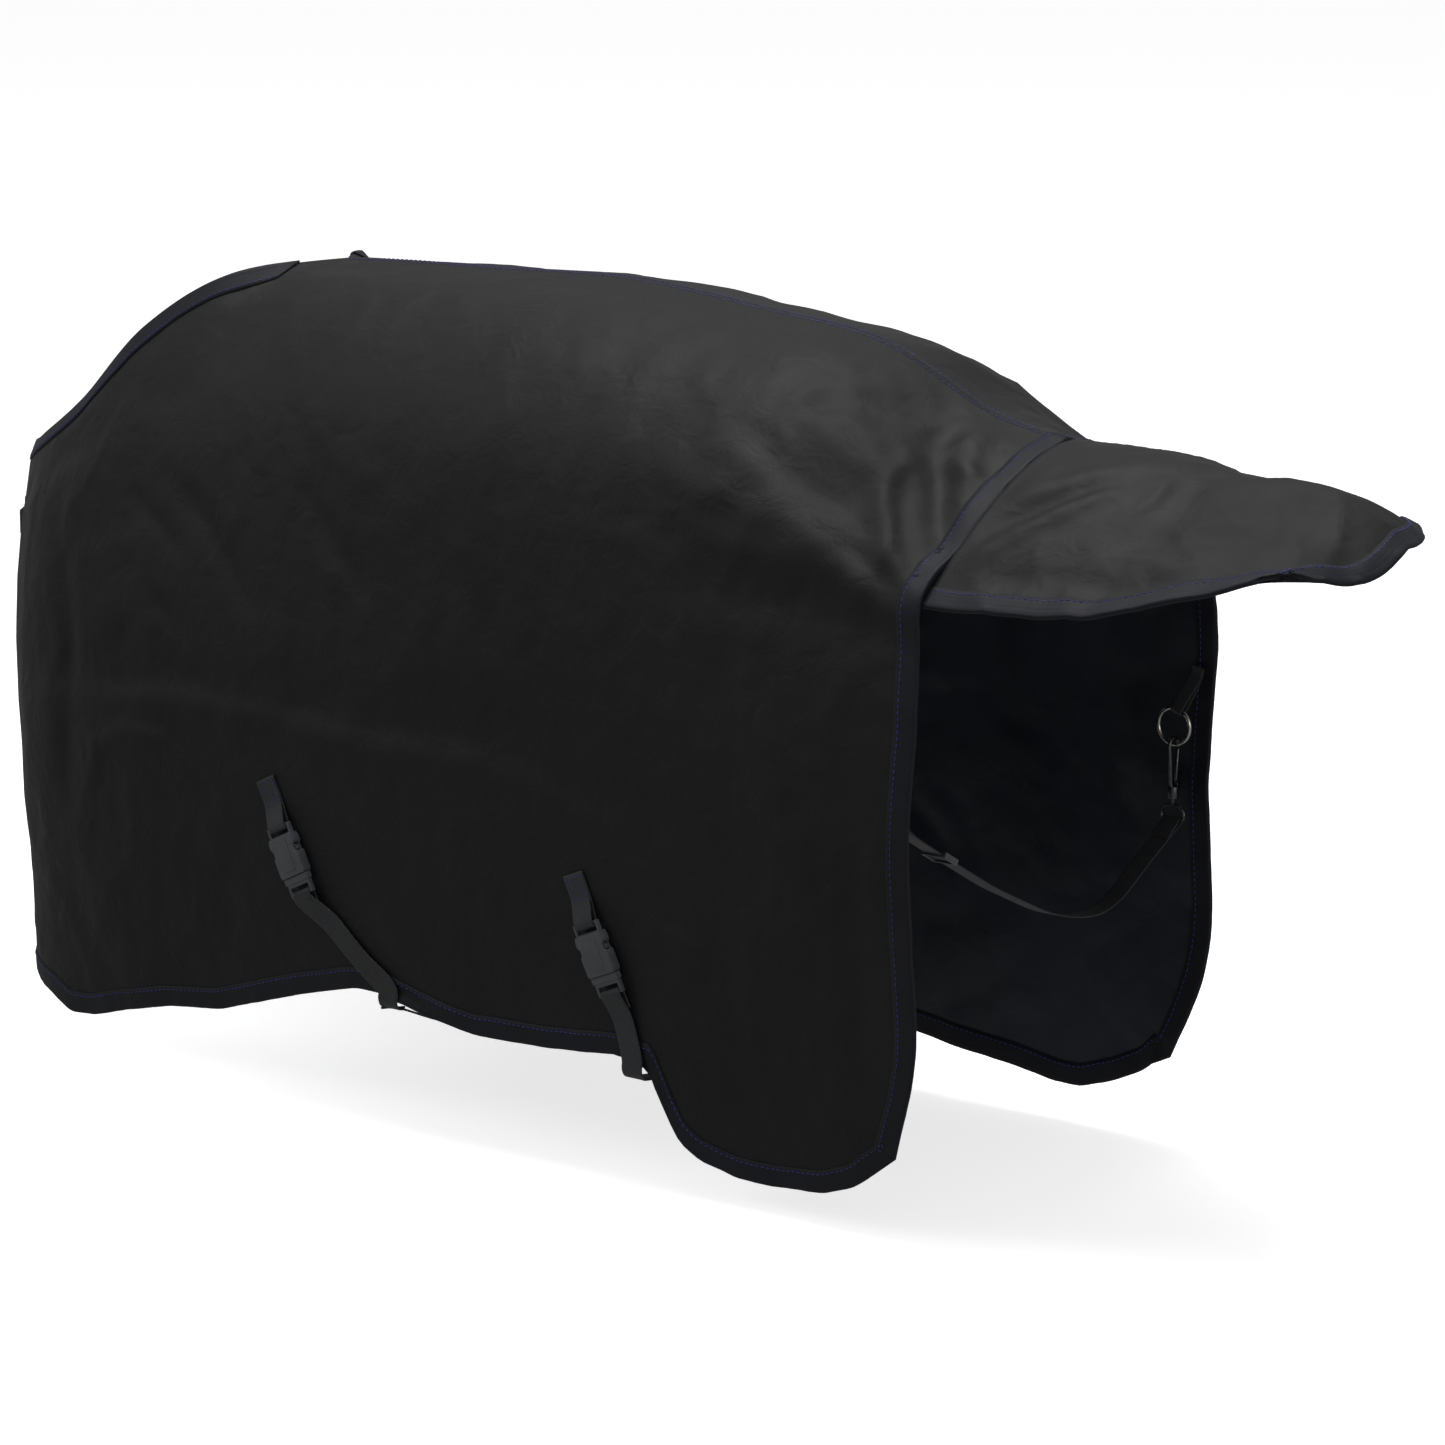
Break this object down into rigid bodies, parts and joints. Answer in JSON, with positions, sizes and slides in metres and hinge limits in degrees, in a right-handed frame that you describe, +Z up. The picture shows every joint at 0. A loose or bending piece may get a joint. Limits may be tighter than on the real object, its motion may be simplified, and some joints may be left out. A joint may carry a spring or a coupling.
{
  "type": "turnout rug",
  "caption": "Dark shaped horse rug with bound edges, side-release buckles at belly and chest, a tail flap and a tail strap clipped to a ring inside the rear edge.",
  "frame": {"origin": "on the lining at the middle of the back seam, where the rug rests on the horse's back", "axes": "+X to the rear opening and tail flap, +Y to the horse's right, +Z up"},
  "size_m": [2.0285, 0.6096, 0.9544],
  "materials": {
    "outer_cloth": "black waterproof woven outer cloth with a dull sheen",
    "lining_cloth": "smooth navy-black lining",
    "binding_tape": "blue-black folded binding tape, stitched",
    "webbing": "dark grey woven webbing",
    "buckle_plastic": "moulded grey-black plastic",
    "nickel_plate": "bright nickel plate"
  },
  "bodies": {
    "rug": {"front_belly_buckle_plug": "buckle_plastic", "front_belly_buckle_socket": "buckle_plastic", "front_belly_far_patch": "outer_cloth", "front_belly_strap": "webbing", "front_belly_tab": "webbing", "left_front_binding": "binding_tape", "left_hem_binding": "binding_tape", "left_lining": "lining_cloth", "left_outer_panel": "outer_cloth", "left_rear_binding": "binding_tape", "lower_chest_buckle_plug": "buckle_plastic", "lower_chest_buckle_socket": "buckle_plastic", "lower_chest_strap": "webbing", "lower_chest_tab": "webbing", "rear_belly_buckle_plug": "buckle_plastic", "rear_belly_buckle_socket": "buckle_plastic", "rear_belly_far_patch": "outer_cloth", "rear_belly_strap": "webbing", "rear_belly_tab": "webbing", "right_front_binding": "binding_tape", "right_hem_binding": "binding_tape", "right_lining": "lining_cloth", "right_outer_panel": "outer_cloth", "right_rear_binding": "binding_tape", "ring_tab": "webbing", "snap_hook_eye": "nickel_plate", "tail_strap": "webbing", "tail_strap_patch": "outer_cloth", "upper_chest_buckle_plug": "buckle_plastic", "upper_chest_buckle_socket": "buckle_plastic", "upper_chest_strap": "webbing", "upper_chest_tab": "webbing"},
    "front_belly_buckle_prong_a": {"front_belly_buckle_prong_a": "buckle_plastic"},
    "front_belly_buckle_prong_b": {"front_belly_buckle_prong_b": "buckle_plastic"},
    "lower_chest_buckle_prong_a": {"lower_chest_buckle_prong_a": "buckle_plastic"},
    "lower_chest_buckle_prong_b": {"lower_chest_buckle_prong_b": "buckle_plastic"},
    "rear_belly_buckle_prong_a": {"rear_belly_buckle_prong_a": "buckle_plastic"},
    "rear_belly_buckle_prong_b": {"rear_belly_buckle_prong_b": "buckle_plastic"},
    "hook": {"snap_hook": "nickel_plate"},
    "hook_gate": {"snap_hook_gate": "nickel_plate"},
    "tail_flap": {"tail_flap_binding": "binding_tape", "tail_flap_lining": "lining_cloth", "tail_flap_outer": "outer_cloth"},
    "ring": {"tail_ring": "nickel_plate"},
    "slider": {"tail_strap_slider": "buckle_plastic"},
    "upper_chest_buckle_prong_a": {"upper_chest_buckle_prong_a": "buckle_plastic"},
    "upper_chest_buckle_prong_b": {"upper_chest_buckle_prong_b": "buckle_plastic"}
  },
  "joints": [
    {"name": "tail_flap_drop", "type": "hinge", "parent": "rug", "child": "tail_flap", "pos_m": [0.62, 0, -0.26465], "axis": [0, 1, 0], "range_deg": [0, 55]},
    {"name": "front_belly_buckle_prong_b_squeeze", "type": "hinge", "parent": "rug", "child": "front_belly_buckle_prong_b", "pos_m": [-0.26561, -0.29652, -0.67244], "axis": [-0.0374, -0.9982, -0.0477], "range_deg": [0, 8], "stiffness_Nm_per_rad": 0.05},
    {"name": "front_belly_buckle_prong_a_squeeze", "type": "hinge", "parent": "rug", "child": "front_belly_buckle_prong_a", "pos_m": [-0.28273, -0.29549, -0.68062], "axis": [-0.0374, -0.9982, -0.0477], "range_deg": [-8, 0], "stiffness_Nm_per_rad": 0.05},
    {"name": "rear_belly_buckle_prong_b_squeeze", "type": "hinge", "parent": "rug", "child": "rear_belly_buckle_prong_b", "pos_m": [0.20703, -0.29878, -0.71442], "axis": [-0.0062, -0.9951, -0.0988], "range_deg": [0, 8], "stiffness_Nm_per_rad": 0.05},
    {"name": "rear_belly_buckle_prong_a_squeeze", "type": "hinge", "parent": "rug", "child": "rear_belly_buckle_prong_a", "pos_m": [0.18947, -0.29795, -0.72164], "axis": [-0.0062, -0.9951, -0.0988], "range_deg": [-8, 0], "stiffness_Nm_per_rad": 0.05},
    {"name": "upper_chest_buckle_prong_b_squeeze", "type": "hinge", "parent": "rug", "child": "upper_chest_buckle_prong_b", "pos_m": [-0.94858, -0.0018, -0.37915], "axis": [-1, 0, 0], "range_deg": [0, 8], "stiffness_Nm_per_rad": 0.05},
    {"name": "upper_chest_buckle_prong_a_squeeze", "type": "hinge", "parent": "rug", "child": "upper_chest_buckle_prong_a", "pos_m": [-0.94858, -0.0018, -0.36015], "axis": [-1, 0, 0], "range_deg": [-8, 0], "stiffness_Nm_per_rad": 0.05},
    {"name": "lower_chest_buckle_prong_b_squeeze", "type": "hinge", "parent": "rug", "child": "lower_chest_buckle_prong_b", "pos_m": [-0.94412, -0.0018, -0.55415], "axis": [-1, 0, 0], "range_deg": [0, 8], "stiffness_Nm_per_rad": 0.05},
    {"name": "lower_chest_buckle_prong_a_squeeze", "type": "hinge", "parent": "rug", "child": "lower_chest_buckle_prong_a", "pos_m": [-0.94412, -0.0018, -0.53515], "axis": [-1, 0, 0], "range_deg": [-8, 0], "stiffness_Nm_per_rad": 0.05},
    {"name": "ring_rock", "type": "hinge", "parent": "rug", "child": "ring", "pos_m": [0.59493, 0.262, -0.47018], "axis": [-0.9613, 0, 0.2756], "range_deg": [-2, 2]},
    {"name": "hook_swivel", "type": "hinge", "parent": "rug", "child": "hook", "pos_m": [0.589, 0.262, -0.57565], "axis": [0, 0, 1], "range_deg": [-25, 25]},
    {"name": "hook_gate_open", "type": "hinge", "parent": "hook", "child": "hook_gate", "pos_m": [0.589, 0.2666, -0.55845], "axis": [1, 0, 0], "range_deg": [0, 18], "stiffness_Nm_per_rad": 0.02},
    {"name": "slider_run", "type": "slide", "parent": "rug", "child": "slider", "axis": [0, 0.8657, -0.5006], "range_m": [-0.03, 0.045]}
  ],
  "couplings": [
    {"joint": "front_belly_buckle_prong_a_squeeze", "follows": "front_belly_buckle_prong_b_squeeze", "ratio": -1},
    {"joint": "rear_belly_buckle_prong_a_squeeze", "follows": "rear_belly_buckle_prong_b_squeeze", "ratio": -1},
    {"joint": "upper_chest_buckle_prong_a_squeeze", "follows": "upper_chest_buckle_prong_b_squeeze", "ratio": -1},
    {"joint": "lower_chest_buckle_prong_a_squeeze", "follows": "lower_chest_buckle_prong_b_squeeze", "ratio": -1}
  ]
}
